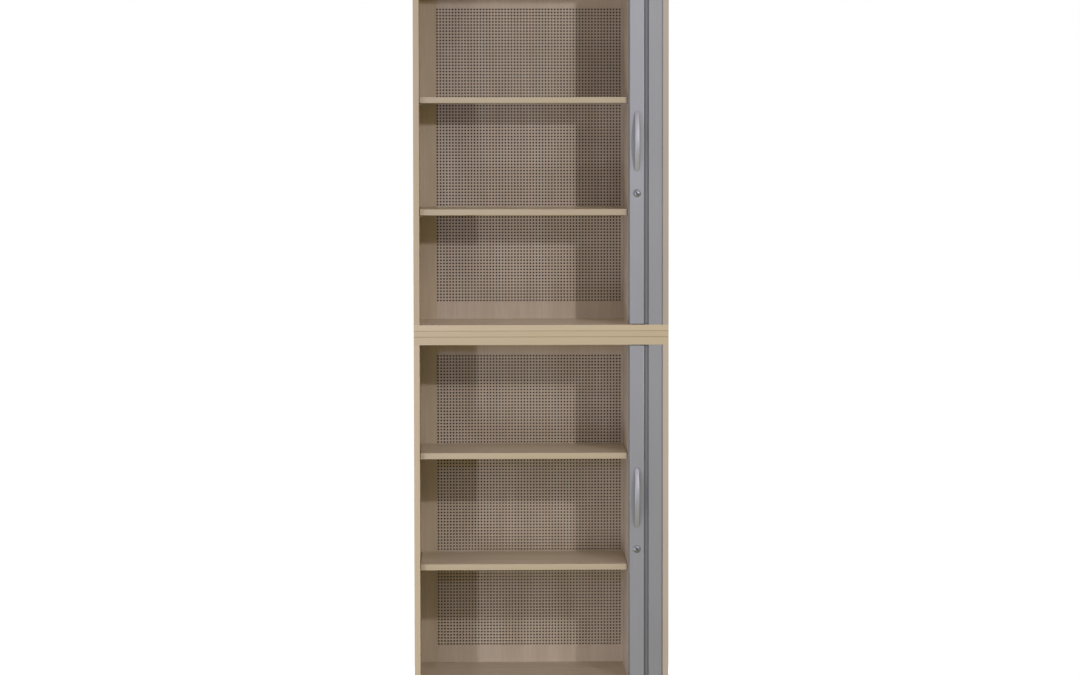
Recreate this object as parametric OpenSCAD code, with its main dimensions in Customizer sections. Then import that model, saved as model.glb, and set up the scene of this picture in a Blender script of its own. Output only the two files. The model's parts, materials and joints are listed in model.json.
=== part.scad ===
// Tall office cabinet made of two stacked units, each closed by a sideways roller shutter.
// The frame: X to the right, Y from the front to the back, Z up, millimetres.
// Depths are counted from the front edges of the boards, heights in a unit from its floor.

/* [Carcass] */
// Outer width of the cabinet
body_w = 800; // [700:10:1000]
// Depth of the boards, from the front edges to the back
body_d = 425; // [400:5:520]
// Clear height inside one unit
interior_h = 1057; // [900:1:1200]
// Thickness of the side boards
side_t = 18; // [16:1:22]
// Thickness of the board under each unit
bottom_t = 19; // [18:1:25]
// Thickness of the board on top of each unit
top_t = 25; // [19:1:30]
// Thickness of the loose cover board between the two units
cover_board_t = 19; // [16:1:25]

/* [Shelves] */
// Height of the lower shelf's top above the unit's floor
low_shelf_z = 362; // [300:1:400]
// Height from the lower shelf's top to the upper shelf's top
shelf_step = 352; // [300:1:380]
// Thickness of a shelf
shelf_t = 19; // [16:1:25]
// Distance from the front edges back to the shelves and the partition
front_recess = 33; // [32:1:45]
// Play at each end of a shelf
shelf_end_gap = 1.5; // [0.5:0.5:2]
// Play behind a shelf
shelf_back_gap = 2; // [1:0.5:5]
// Radius of a shelf pin
pin_r = 2.5; // [2:0.5:3]
// Depth of a shelf pin's hole
pin_hole_d = 9; // [7:1:11]
// Length of a shelf pin that carries the shelf
pin_out = 8; // [6:1:10]
// Height between neighbouring shelf pin holes
pin_step = 32; // [25:1:35]
// Holes above and below the one in use
pin_spare = 2; // [0:1:3]
// Distance from the front and rear edge of a shelf to its pins
pin_inset = 37; // [25:1:60]

/* [Back] */
// Thickness of the perforated board that shows inside
perforated_t = 8; // [6:1:10]
// Thickness of the black fleece behind the holes
fleece_t = 1.5; // [1:0.5:3]
// Thickness of the sound absorbing mat
absorber_t = 17.5; // [12:0.5:24]
// Thickness of the outer back board
outer_back_t = 8; // [6:1:10]

/* [Shutter housing] */
// Thickness of the partition
partition_t = 16; // [16:1:19]
// Clear width between the partition and the right side board
housing_w = 93; // [88:1:120]
// Width of the fixed strip that covers the housing's front
strip_w = 41; // [36:1:44]
// Thickness of the strip's front wall
strip_t = 3; // [2:0.5:4]
// Depth of the strip's front face behind the front edges
strip_inset = 1; // [0:0.5:3]
// Depth of the strip's two rearward flanges
strip_flange = 6; // [5:0.5:6.5]
// Width of the shadow groove between the strip and the side board
strip_groove = 3.5; // [2:0.5:5]

/* [Tracks] */
// Depth of the shutter's middle plane behind the front edges
track_inset = 14; // [14:0.5:16]
// Width of the channel that guides the slats
channel_w = 6; // [5.5:0.5:7]
// Thickness of a track's side walls
track_wall = 3; // [2:0.5:3.5]
// Thickness of a track's bottom
track_floor = 2; // [1.5:0.5:3]
// Height of a track, sunk flush into the board
track_h = 9; // [8:0.5:10]
// Play around a track in its groove
track_fit = 0.1; // [0.05:0.05:0.2]
// Radius of the front corner, at the middle of the channel
corner_r = 32; // [30:1:34]
// Distance from the right side board to the middle of the channel
side_track_inset = 9; // [9:0.5:11]
// Distance from the partition to the middle of the channel
partition_track_inset = 14; // [12:0.5:18]
// Distance from the perforated board to the middle of the channel
turn_back_gap = 19; // [14:1:30]
// Gap between neighbouring runs of the track
lane_gap = 3; // [2:0.5:5]

/* [Shutter] */
// Distance from one slat to the next
slat_pitch = 20; // [19:0.5:21]
// Gap between two slats
slat_gap = 1.4; // [1.2:0.1:2]
// Thickness of a slat
slat_t = 8; // [6:0.5:8]
// Width of a slat's back face
slat_back_w = 14; // [12:0.5:14.5]
// Radius of a slat's rounded front face
slat_face_r = 30; // [25:1:60]
// Gap between the slats or the bar and the boards above and below
end_gap = 2.5; // [2:0.5:4]
// Width of a slat's tongue
tongue_w = 10; // [8:0.5:10]
// Thickness of a slat's tongue
tongue_t = 4; // [3.5:0.5:4]
// Gap between a tongue's tip and the channel's bottom
tongue_gap = 0.3; // [0.2:0.1:0.5]
// Slats that stay in the housing when the shutter is closed
spare_slats = 2; // [1:1:3]

/* [Shutter bar] */
// Width of the bar that leads the shutter
bar_w = 46.5; // [42:0.5:50]
// Thickness of the bar
bar_t = 20; // [20:0.5:22]
// Depth of the bar's face behind the front edges
bar_inset = 3; // [2:0.5:5]
// Wall thickness of the bar
bar_wall = 2; // [1.5:0.5:2.5]
// Radius of the bar's outer edges
bar_edge_r = 2.5; // [2:0.5:4]
// Gap between the opened bar and the cover strip
bar_gap = 13.5; // [12:0.5:16]
// Gap between the closed bar and the left side board
close_gap = 1; // [0.5:0.5:2]
// Length of the glide blocks that sit in the bar's ends
glide_l = 30; // [20:1:34]
// Depth of the glide blocks inside the bar
glide_h = 20; // [15:1:30]
// Play of the glide blocks inside the bar
glide_fit = 0.1; // [0.05:0.05:0.2]

/* [Handle] */
// Length of the bow handle
handle_l = 186; // [170:1:200]
// Width of the bow handle
handle_w = 14.5; // [13:0.5:17]
// Height of the bow above the bar
handle_rise = 28; // [25:1:35]
// Thickness of the bow in the middle
handle_t = 6; // [5:0.5:7]
// Thickness of the handle's tips
handle_tip = 3; // [2:0.5:4]
// Length of each solid foot of the handle
handle_foot = 21; // [19:1:24]
// Height of the handle's middle above the unit's floor
handle_z = 575; // [560:1:700]
// Distance between the handle's two screws
handle_screw_span = 160; // [145:1:160]
// Radius of a handle screw
handle_screw_r = 2; // [1.5:0.25:2]
// Radius of a handle screw's head
handle_screw_head_r = 4; // [3.5:0.5:4.5]
// Height of a handle screw's head
handle_screw_head_h = 2.5; // [2:0.5:3]

/* [Lock] */
// Height of the lock above the unit's floor
lock_z = 412; // [380:1:440]
// Radius of the lock's rim
lock_rim_r = 12.5; // [11.5:0.5:14]
// Thickness of the lock's rim
lock_rim_t = 3; // [2:0.5:3]
// Radius of the lock's housing behind the rim
lock_body_r = 10; // [9.5:0.5:10.5]
// Length of the lock's housing inside the bar
lock_body_l = 13; // [12:0.5:13]
// Radius of the turning plug
plug_r = 7.5; // [7:0.25:8]
// How far the plug's face stands out of the rim
plug_out = 0.6; // [0.4:0.2:1]
// Running clearance around the plug
plug_play = 0.05; // [0.03:0.01:0.08]
// Width of the key slot
key_slot_w = 2.4; // [2:0.2:3]
// Length of the key slot
key_slot_l = 10; // [8:0.5:11]
// Depth of the key slot
key_slot_d = 8; // [5:0.5:10]
// Lean of the key slot to the left while the lock is open, in degrees
key_slot_lean = 40; // [0:5:90]
// Width of the plug's square tail
tail_w = 6; // [5:0.5:7]
// Thickness of the hooked cam
cam_t = 2.5; // [2:0.5:2.5]
// Width of the cam's arm
cam_w = 8; // [7:0.5:9]
// Distance from the plug's axis to the cam's tip
cam_reach = 32; // [31:0.5:33]
// Radius of the cam's hub
cam_hub_r = 6; // [5:0.5:7]
// Length of the cam's hook
cam_hook = 5.5; // [4:0.5:6]
// Thickness of the strike plate
strike_t = 1.5; // [1:0.25:1.5]
// Length of the strike plate
strike_l = 70; // [62:1:80]
// Width of the strike plate
strike_w = 18; // [16:0.5:20]

/* [Connectors] */
// Radius of a cam disc that joins the boards
disc_r = 7.5; // [7:0.25:7.5]
// Depth of a cam disc in its board
disc_d = 12.5; // [11:0.5:13]
// Distance from a board's end to the middle of the cam disc
disc_inset = 34; // [24:1:34]
// Distance from the front and rear edges to the cam discs
disc_edge = 50; // [40:1:80]
// Radius of a connecting bolt
bolt_r = 3.5; // [3:0.25:3.5]
// Depth of a connecting bolt in the cross board
bolt_in = 8; // [6:0.5:8.5]
// Radius of a screw that joins the two units
joint_screw_r = 3; // [2.5:0.25:3.5]
// Radius of its countersunk head
joint_head_r = 6; // [5.5:0.5:7]
// Height of its countersunk head
joint_head_h = 3.5; // [3:0.25:4]
// Depth of the screw in the lower unit's top board
joint_screw_in = 15; // [12:1:17]
// Distance from the sides of the shelf space to these screws
joint_inset_x = 42; // [30:1:80]
// Distance from the shelf space's front and rear to these screws
joint_inset_y = 40; // [30:1:80]

/* [Feet] */
// Height of the lower unit above the floor
foot_h = 25; // [22:1:40]
// Radius of a foot's plate
foot_r = 22.5; // [18:0.5:28]
// Thickness of a foot's plate
foot_plate_t = 6; // [5:0.5:8]
// Height of the cone above a foot's plate
foot_cone_h = 4; // [3:0.5:6]
// Radius of a foot's stem
stem_r = 4; // [4:0.25:5]
// Running clearance around a foot's stem
stem_play = 0.05; // [0.03:0.01:0.08]
// Radius of a socket's flange
socket_flange_r = 20; // [16:0.5:24]
// Thickness of a socket's flange
socket_flange_t = 3; // [2:0.5:4]
// Radius of a socket's sleeve
socket_sleeve_r = 8; // [7.5:0.5:10]
// Wood left between a socket's sleeve and the track above it
socket_skin = 1.5; // [0.5:0.5:3]
// Distance from the board's edges to the feet
foot_inset = 55; // [45:1:90]

/* [Hidden] */

// Smoothness of round shapes
$fn = 64;
// Overrun of every cut past the face it opens
cut = 1;
// Radial play of a fixed pin or screw in its hole
pin_play = 0.05;
// Gap between a cam disc and its connecting bolt
bolt_gap = 0.2;
// Screwdriver slot of a cam disc: half length and width by its radius, depth by its depth
disc_slot_l_share = 0.7;
disc_slot_w_share = 0.25;
disc_slot_d_share = 0.2;
// Foot of the cone on a levelling foot, by the plate's radius
foot_cone_share = 0.8;

// Colours
board_color = "#c9b493";
back_color = "#b7a382";
black_color = "#26241f";
grey_color = "#9b9ca0";
silver_color = "#c8cacc";
dark_color = "#55565a";

// Heights of the two units' floors
lower_floor_z = foot_h + bottom_t;
cover_board_z = lower_floor_z + interior_h + top_t;
upper_floor_z = cover_board_z + cover_board_t + bottom_t;

// The handles stand out in front, and the middle of the whole depth is Y zero
handle_proud = handle_rise - bar_inset;
front_y = -(body_d - handle_proud) / 2;

// Faces across the width
outer_x = body_w / 2;
inner_x = outer_x - side_t;
partition_x = inner_x - housing_w - partition_t;
bay_w = partition_x + inner_x;
back_y = body_d - perforated_t - fleece_t - absorber_t - outer_back_t;

// Heights in a unit
high_shelf_z = low_shelf_z + shelf_step;
shelf_heights = [low_shelf_z, high_shelf_z];

// Shutter bar and cover strip
strip_x = inner_x - strip_groove - strip_w;
bar_x = strip_x - bar_gap - bar_w;
bar_right_x = bar_x + bar_w;
bar_mid_x = bar_x + bar_w / 2;
shutter_travel = bar_x + inner_x - close_gap;
bar_h = interior_h - 2 * end_gap;

// The shutter's path round the housing: runs at the side board and the partition, joined by turns
track_half = channel_w / 2 + track_wall;
lane = 2 * track_half + lane_gap;
side_track_x = inner_x - side_track_inset;
partition_track_x = partition_x + partition_t + partition_track_inset;
corner_x = side_track_x - corner_r;
corner_y = track_inset + corner_r;
turn_r = (side_track_x - partition_track_x) / 2;
front_turn_r = turn_r - lane / 2;
turn_y = back_y - turn_back_gap - turn_r;
front_turn_y = track_inset + track_half + lane_gap + front_turn_r + track_half;
loop_count = 2;

// Stretches of the path, each with its start, heading, radius or zero for a straight one, and length
path = concat(
    [
        [bar_right_x, track_inset, 0, 0, corner_x - bar_right_x],
        [corner_x, track_inset, 0, corner_r, corner_r * PI / 2],
        [side_track_x, corner_y, 90, 0, turn_y - corner_y]
    ],
    [
        for (k = [0:loop_count - 1], part = [0:3])
            let(right_x = side_track_x - k * lane, left_x = partition_track_x + k * lane, run = turn_y - front_turn_y)
            part == 0 ? [right_x, turn_y, 90, turn_r - k * lane, (turn_r - k * lane) * PI] :
            part == 1 ? [left_x, turn_y, 270, 0, run] :
            part == 2 ? [left_x, front_turn_y, 270, front_turn_r - k * lane, (front_turn_r - k * lane) * PI] :
            [right_x - lane, front_turn_y, 90, 0, run]
    ]
);
path_starts = [for (i = 0, s = 0; i < len(path); s = s + path[i][4], i = i + 1) s];

// Slats that close the front, and those that stay behind
slat_w = slat_pitch - slat_gap;
slat_count = ceil((strip_x - bar_right_x + shutter_travel) / slat_pitch) + spare_slats;
stored_l = slat_count * slat_pitch;
tongue_l = end_gap + track_h - track_floor - tongue_gap;

// Lock
lock_body_end = bar_inset + lock_body_l;
plug_l = plug_out + lock_rim_t + lock_body_l;
cam_y = lock_body_end + (bar_t - bar_wall - lock_body_l - cam_t) / 2;
tail_l = cam_y + cam_t - lock_body_end;
cam_gap = 0.6;
cam_tip_r = sqrt(pow(cam_reach, 2) + pow(cam_w / 2 + cam_hook, 2));
cam_sweep = sqrt(pow(cam_tip_r, 2) - pow(bar_w / 2 - bar_wall, 2)) + cam_gap;
mortise_d = cam_tip_r - bar_w / 2 - close_gap + cam_gap;
strike_y = cam_y + cam_t / 2;
hook_h = cam_reach - bar_w / 2 - close_gap - strike_t - cam_gap;

// Handle
outer_bow_r = (pow(handle_l / 2, 2) + pow(handle_rise - handle_tip, 2)) / (2 * (handle_rise - handle_tip));
inner_bow_rise = handle_rise - handle_t;
inner_bow_half = handle_l / 2 - handle_foot;
inner_bow_r = (pow(inner_bow_half, 2) + pow(inner_bow_rise, 2)) / (2 * inner_bow_rise);
handle_screw_in = handle_tip + handle_screw_head_h;

// Depth of a socket's sleeve in the board
socket_in = bottom_t - track_h - socket_skin;

// Places of the feet and of the screws between the units
foot_places = [
    [-outer_x + foot_inset, foot_inset], [outer_x - foot_inset, foot_inset],
    [-outer_x + foot_inset, body_d - foot_inset], [outer_x - foot_inset, body_d - foot_inset]
];
joint_places = [
    for (x = [-inner_x + joint_inset_x, partition_x - joint_inset_x],
         y = [front_recess + joint_inset_y, back_y - joint_inset_y]) [x, y]
];
disc_places = [disc_edge, back_y - disc_edge];
pin_places = [front_recess + pin_inset, back_y - shelf_back_gap - pin_inset];

echo(shutter_travel = shutter_travel, slats = slat_count, stored_l = stored_l);

// Moves a unit's piece to its height, counted from the unit's floor
module at_unit(floor_z) {
    translate([0, front_y, floor_z]) children();
}

// A straight board between two corners
module board(low, high) {
    translate(low) cube(high - low);
}

// A round bar along Y from depth y0 to y1
module along_y(x, y0, y1, z, r) {
    translate([x, y0, z]) rotate([-90, 0, 0]) cylinder(h = y1 - y0, r = r);
}

// A round bar along X from x0 to x1
module along_x(x0, x1, y, z, r) {
    translate([x0, y, z]) rotate([0, 90, 0]) cylinder(h = x1 - x0, r = r);
}

// A rectangle with four round corners, from the origin
module soft_rectangle(w, h, r) {
    translate([r, 0]) square([w - 2 * r, h]);
    translate([0, r]) square([w, h - 2 * r]);
    for (x = [r, w - r], y = [r, h - r]) translate([x, y]) circle(r = r);
}

// A ring cut down to the part that lies in the given rectangle
module ring_part(r, half, low, size) {
    intersection() {
        difference() {
            circle(r = r + half);
            circle(r = r - half);
        }
        translate(low) square(size);
    }
}

// One stretch of the path drawn as a band with the given half width; its turns go left
module stretch_band(stretch, half) {
    r = stretch[3];
    reach = r + 2 * half;
    quarters = r == 0 ? 0 : round(2 * stretch[4] / (r * PI));
    translate([stretch[0], stretch[1]]) rotate(stretch[2])
        if (r == 0) translate([0, -half]) square([stretch[4], 2 * half]);
        else translate([0, r]) ring_part(r, half, [0, -reach], [reach, quarters * reach]);
}

// The track's band: the front run, and the stretches that the rolled away shutter needs
module path_band(half) {
    translate([-inner_x, track_inset - half]) square([bar_right_x + inner_x, 2 * half]);
    for (i = [0:len(path) - 1]) if (path_starts[i] < stored_l) stretch_band(path[i], half);
}

// Place and heading on a stretch, at length s from its start
function on_stretch(stretch, s) =
    let(x = stretch[0], y = stretch[1], h = stretch[2], r = stretch[3])
    r == 0 ? [x + s * cos(h), y + s * sin(h), h] :
    let(a = h + s / r * 180 / PI) [x + r * (sin(a) - sin(h)), y + r * (cos(h) - cos(a)), a];

// Place and heading on the path, at length s behind the opened bar
function path_at(s, i = 0) =
    i == len(path) - 1 || s < path[i][4] ? on_stretch(path[i], s) : path_at(s - path[i][4], i + 1);

// Board under a unit, with the groove for the lower track
module bottom_board() {
    difference() {
        board([-outer_x, 0, -bottom_t], [outer_x, body_d, 0]);
        translate([0, 0, -track_h]) linear_extrude(track_h + cut) path_band(track_half + track_fit);
        connector_bolts(pin_play);
    }
}

// Board on top of a unit, with the groove for the upper track
module top_board() {
    difference() {
        board([-outer_x, 0, interior_h], [outer_x, body_d, interior_h + top_t]);
        translate([0, 0, interior_h - cut]) linear_extrude(track_h + cut) path_band(track_half + track_fit);
        connector_bolts(pin_play);
    }
}

module lower_bottom_panel() {
    color(board_color) at_unit(lower_floor_z) difference() {
        bottom_board();
        for (p = foot_places) translate([p[0], p[1], -bottom_t - cut])
            cylinder(h = socket_in + cut, r = socket_sleeve_r + pin_play);
    }
}

module lower_top_panel() {
    color(board_color) at_unit(lower_floor_z) difference() {
        top_board();
        for (p = joint_places) translate([p[0], p[1], interior_h + top_t - joint_screw_in - pin_play])
            cylinder(h = joint_screw_in + pin_play + cut, r = joint_screw_r + pin_play);
    }
}

module upper_bottom_panel() {
    color(board_color) at_unit(upper_floor_z) difference() {
        bottom_board();
        for (p = joint_places) translate([p[0], p[1], 0]) {
            translate([0, 0, -bottom_t - cut])
                cylinder(h = bottom_t + 2 * cut, r = joint_screw_r + pin_play);
            translate([0, 0, -joint_head_h]) joint_head(pin_play);
        }
    }
}

module upper_top_panel() {
    color(board_color) at_unit(upper_floor_z) top_board();
}

// Loose board between the units
module middle_cover_panel() {
    color(board_color) at_unit(cover_board_z) difference() {
        board([-outer_x, 0, 0], [outer_x, body_d, cover_board_t]);
        for (p = joint_places) translate([p[0], p[1], -cut])
            cylinder(h = cover_board_t + 2 * cut, r = joint_screw_r + pin_play);
    }
}

// Countersunk head of a screw between the units, from its cone's tip side up
module joint_head(play) {
    cylinder(h = joint_head_h, r1 = joint_screw_r + play, r2 = joint_head_r + play);
}

// Four screws that hold the two units together
module unit_screws() {
    color(silver_color) at_unit(upper_floor_z) for (p = joint_places) translate([p[0], p[1], 0]) {
        translate([0, 0, -joint_head_h]) joint_head(0);
        translate([0, 0, -bottom_t - cover_board_t - joint_screw_in])
            cylinder(h = bottom_t + cover_board_t + joint_screw_in - joint_head_h, r = joint_screw_r);
    }
}

// Connecting bolts of the side boards, grown by a play where they are cut out
module connector_bolts(play) {
    bolt_low = disc_inset - disc_r - bolt_gap;
    for (x = [-outer_x + side_t / 2, outer_x - side_t / 2], y = disc_places) {
        translate([x, y, -bolt_in - play]) cylinder(h = bolt_in + bolt_low + 2 * play, r = bolt_r + play);
        translate([x, y, interior_h - bolt_low - play])
            cylinder(h = bolt_in + bolt_low + 2 * play, r = bolt_r + play);
    }
}

// Cam discs of the side boards, grown by a play where they are cut out
module cam_discs(play) {
    for (y = disc_places, z = [disc_inset, interior_h - disc_inset]) {
        along_x(-inner_x - disc_d - play, -inner_x, y, z, disc_r + play);
        along_x(inner_x, inner_x + disc_d + play, y, z, disc_r + play);
    }
}

// Cam discs with a screwdriver slot, and their connecting bolts
module carcass_fittings(floor_z) {
    slot_half_l = disc_r * disc_slot_l_share;
    slot_w = disc_r * disc_slot_w_share;
    slot_d = disc_d * disc_slot_d_share;
    color(silver_color) at_unit(floor_z) {
        connector_bolts(0);
        difference() {
            cam_discs(0);
            for (y = disc_places, z = [disc_inset, interior_h - disc_inset], side = [-1, 1])
                board([side * inner_x - slot_d, y - slot_w / 2, z - slot_half_l],
                      [side * inner_x + slot_d, y + slot_w / 2, z + slot_half_l]);
        }
    }
}

// Holes for the shelf pins, drilled from the face at x towards the given side
module pin_holes(x, side) {
    for (h = shelf_heights, y = pin_places, k = [-pin_spare:pin_spare]) {
        z = h - shelf_t - pin_r - pin_play + k * pin_step;
        along_x(side > 0 ? x - cut : x - pin_hole_d, side > 0 ? x + pin_hole_d : x + cut,
            y, z, pin_r + pin_play);
    }
}

module left_side(floor_z) {
    color(board_color) at_unit(floor_z) difference() {
        board([-outer_x, 0, 0], [-inner_x, body_d, interior_h]);
        pin_holes(-inner_x, -1);
        connector_bolts(pin_play);
        cam_discs(pin_play);
        board([-inner_x - strike_t, strike_y - strike_w / 2, lock_z - strike_l / 2],
              [-inner_x + cut, strike_y + strike_w / 2, lock_z + strike_l / 2]);
        board([-inner_x - mortise_d, cam_y - cam_gap, lock_z - cam_sweep],
              [-inner_x, cam_y + cam_t + cam_gap, lock_z + cam_w / 2 + cam_hook + cam_gap]);
    }
}

module right_side(floor_z) {
    color(board_color) at_unit(floor_z) difference() {
        board([inner_x, 0, 0], [outer_x, body_d, interior_h]);
        connector_bolts(pin_play);
        cam_discs(pin_play);
    }
}

// Upright board between the shelves and the shutter's housing
module partition(floor_z) {
    color(board_color) at_unit(floor_z) difference() {
        board([partition_x, front_recess, 0], [partition_x + partition_t, back_y, interior_h]);
        pin_holes(partition_x, 1);
    }
}

// One layer of the back, from depth y0 to y1
module back_layer(floor_z, y0, y1, tint) {
    color(tint) at_unit(floor_z) board([-inner_x, y0, 0], [inner_x, y1, interior_h]);
}

module perforated_back(floor_z) {
    back_layer(floor_z, back_y, back_y + perforated_t, back_color);
}

module acoustic_fleece(floor_z) {
    y = back_y + perforated_t;
    back_layer(floor_z, y, y + fleece_t, black_color);
}

module absorber_mat(floor_z) {
    y = back_y + perforated_t + fleece_t;
    back_layer(floor_z, y, y + absorber_t, dark_color);
}

module outer_back(floor_z) {
    back_layer(floor_z, body_d - outer_back_t, body_d, board_color);
}

module shelf(floor_z, shelf_z) {
    color(board_color) at_unit(floor_z)
        board([-inner_x + shelf_end_gap, front_recess, shelf_z - shelf_t],
              [partition_x - shelf_end_gap, back_y - shelf_back_gap, shelf_z]);
}

// Eight steel pins that carry the two shelves
module shelf_pins(floor_z) {
    color(silver_color) at_unit(floor_z) for (h = shelf_heights, y = pin_places) {
        z = h - shelf_t - pin_r - pin_play;
        along_x(-inner_x - pin_hole_d + pin_play, -inner_x + pin_out, y, z, pin_r);
        along_x(partition_x - pin_out, partition_x + pin_hole_d - pin_play, y, z, pin_r);
    }
}

// Channel that guides the slats, open upwards, with its rim at zero
module track() {
    translate([0, 0, -track_h]) difference() {
        linear_extrude(track_h) path_band(track_half);
        translate([0, 0, track_floor]) linear_extrude(track_h) path_band(channel_w / 2);
    }
}

module bottom_track(floor_z) {
    color(dark_color) at_unit(floor_z) track();
}

module top_track(floor_z) {
    color(dark_color) at_unit(floor_z) translate([0, 0, interior_h]) mirror([0, 0, 1]) track();
}

// Fixed strip in front of the housing, with two flanges and a foot on the side board
module cover_strip(floor_z) {
    color(grey_color) at_unit(floor_z) linear_extrude(interior_h) translate([0, strip_inset]) {
        translate([strip_x, 0]) square([strip_w, strip_t]);
        translate([strip_x, 0]) square([strip_t, strip_flange]);
        translate([strip_x + strip_w - strip_t, 0]) square([strip_t, strip_flange]);
        translate([strip_x + strip_w - strip_t, strip_flange - strip_t])
            square([strip_t + strip_groove, strip_t]);
    }
}

// Section of a slat: round front, narrow back
module slat_section() {
    intersection() {
        polygon([
            [-slat_w / 2, -slat_t / 2], [slat_w / 2, -slat_t / 2], [slat_w / 2, 0],
            [slat_back_w / 2, slat_t / 2], [-slat_back_w / 2, slat_t / 2], [-slat_w / 2, 0]
        ]);
        translate([0, slat_face_r - slat_t / 2]) circle(r = slat_face_r);
    }
}

// One slat with the tongues that run in the two channels
module slat(place) {
    translate([place[0], place[1], 0]) rotate([0, 0, place[2]]) {
        translate([0, 0, end_gap]) linear_extrude(bar_h) slat_section();
        for (z = [end_gap - tongue_l, end_gap + bar_h])
            translate([-tongue_w / 2, -tongue_t / 2, z]) cube([tongue_w, tongue_t, tongue_l]);
    }
}

// The slats that are rolled away into the housing
module curtain(floor_z) {
    color(grey_color) at_unit(floor_z)
        for (k = [1:slat_count - 1]) slat(path_at((k + 0.5) * slat_pitch));
}

// The first slat, hooked to the bar
module lead_slat(floor_z) {
    color(grey_color) at_unit(floor_z) {
        slat(path_at(slat_pitch / 2));
        translate([bar_right_x, track_inset - tongue_t / 2, end_gap])
            cube([slat_gap, tongue_t, bar_h]);
    }
}

// Hollow bar with holes for the lock, the cam and the handle's screws
module shutter_bar(floor_z) {
    color(grey_color) at_unit(floor_z) difference() {
        translate([bar_x, bar_inset, end_gap]) linear_extrude(bar_h)
            difference() {
                soft_rectangle(bar_w, bar_t, bar_edge_r);
                translate([bar_wall, bar_wall]) square([bar_w - 2 * bar_wall, bar_t - 2 * bar_wall]);
            }
        along_y(bar_mid_x, bar_inset - cut, bar_inset + bar_wall + cut, lock_z, lock_body_r + pin_play);
        board([bar_x - cut, cam_y - cam_gap, lock_z - cam_sweep],
              [bar_x + bar_wall + cut, cam_y + cam_t + cam_gap, lock_z + cam_w / 2 + cam_gap]);
        handle_screw_row() along_y(0, bar_inset - cut, bar_inset + bar_t + cut, 0, handle_screw_r + pin_play);
    }
}

// Glide blocks in the bar's ends, with tongues in the channels
module bar_glides(floor_z) {
    block_w = bar_w - 2 * bar_wall - 2 * glide_fit;
    block_t = bar_t - 2 * bar_wall - 2 * glide_fit;
    block_y = bar_inset + bar_wall + glide_fit;
    color(dark_color) at_unit(floor_z) for (top = [0, 1]) {
        block_z = top == 0 ? end_gap : end_gap + bar_h - glide_h;
        tongue_z = top == 0 ? end_gap - tongue_l : end_gap + bar_h;
        translate([bar_x + bar_wall + glide_fit, block_y, block_z]) cube([block_w, block_t, glide_h]);
        translate([bar_mid_x - glide_l / 2, track_inset - tongue_t / 2, tongue_z])
            cube([glide_l, tongue_t, tongue_l]);
    }
}

// The two places of the handle's screws
module handle_screw_row() {
    for (side = [-1, 1]) translate([bar_mid_x, 0, handle_z + side * handle_screw_span / 2]) children();
}

// Side view of the bow: X is the height above the bar, Y runs along the handle
module bow_section() {
    intersection() {
        translate([0, -handle_l / 2]) square([handle_rise, handle_l]);
        difference() {
            translate([handle_rise - outer_bow_r, 0]) circle(r = outer_bow_r, $fn = 256);
            translate([inner_bow_rise - inner_bow_r, 0]) circle(r = inner_bow_r, $fn = 256);
        }
    }
}

// Front view of the handle, with round ends
module handle_outline() {
    straight = handle_l - handle_w;
    translate([-handle_w / 2, -straight / 2]) square([handle_w, straight]);
    for (side = [-1, 1]) translate([0, side * straight / 2]) circle(r = handle_w / 2);
}

module handle(floor_z) {
    color(silver_color) at_unit(floor_z) translate([bar_mid_x, bar_inset, handle_z]) difference() {
        intersection() {
            translate([handle_w / 2 + cut, 0, 0]) rotate([90, 0, -90])
                linear_extrude(handle_w + 2 * cut) bow_section();
            translate([0, cut, 0]) rotate([90, 0, 0]) linear_extrude(handle_rise + 2 * cut) handle_outline();
        }
        for (side = [-1, 1])
            along_y(0, -handle_screw_in - pin_play, cut, side * handle_screw_span / 2, handle_screw_r + pin_play);
    }
}

// Screws from behind the bar into the handle's feet
module handle_screws(floor_z) {
    back = bar_inset + bar_t;
    color(silver_color) at_unit(floor_z) handle_screw_row() {
        along_y(0, bar_inset - handle_screw_in, back, 0, handle_screw_r);
        along_y(0, back, back + handle_screw_head_h, 0, handle_screw_head_r);
    }
}

// Rim and housing of the lock
module lock_body(floor_z) {
    color(silver_color) at_unit(floor_z) difference() {
        union() {
            along_y(bar_mid_x, bar_inset - lock_rim_t, bar_inset, lock_z, lock_rim_r);
            along_y(bar_mid_x, bar_inset - lock_rim_t, lock_body_end, lock_z, lock_body_r);
        }
        along_y(bar_mid_x, bar_inset - lock_rim_t - cut, lock_body_end + cut, lock_z, plug_r + plug_play);
    }
}

// Turning plug with its key slot and square tail
module lock_plug(floor_z) {
    face_y = bar_inset - lock_rim_t - plug_out;
    color(silver_color) at_unit(floor_z) difference() {
        union() {
            along_y(bar_mid_x, face_y, face_y + plug_l, lock_z, plug_r);
            board([bar_mid_x - tail_w / 2, face_y + plug_l, lock_z - tail_w / 2],
                  [bar_mid_x + tail_w / 2, face_y + plug_l + tail_l, lock_z + tail_w / 2]);
        }
        translate([bar_mid_x, face_y, lock_z]) rotate([0, -key_slot_lean, 0])
            board([-key_slot_w / 2, -cut, -key_slot_l / 2], [key_slot_w / 2, key_slot_d, key_slot_l / 2]);
    }
}

// Hooked cam on the plug's tail, hanging down while the lock is open
module lock_cam(floor_z) {
    color(silver_color) at_unit(floor_z) translate([bar_mid_x, cam_y, lock_z]) rotate([-90, 0, 0])
        linear_extrude(cam_t) difference() {
            union() {
                circle(r = cam_hub_r);
                translate([-cam_w / 2, 0]) square([cam_w, cam_reach]);
                translate([-cam_w / 2 - cam_hook, cam_reach - hook_h]) square([cam_w + cam_hook, hook_h]);
            }
            translate([-tail_w / 2 - pin_play, -tail_w / 2 - pin_play])
                square([tail_w + 2 * pin_play, tail_w + 2 * pin_play]);
        }
}

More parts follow.
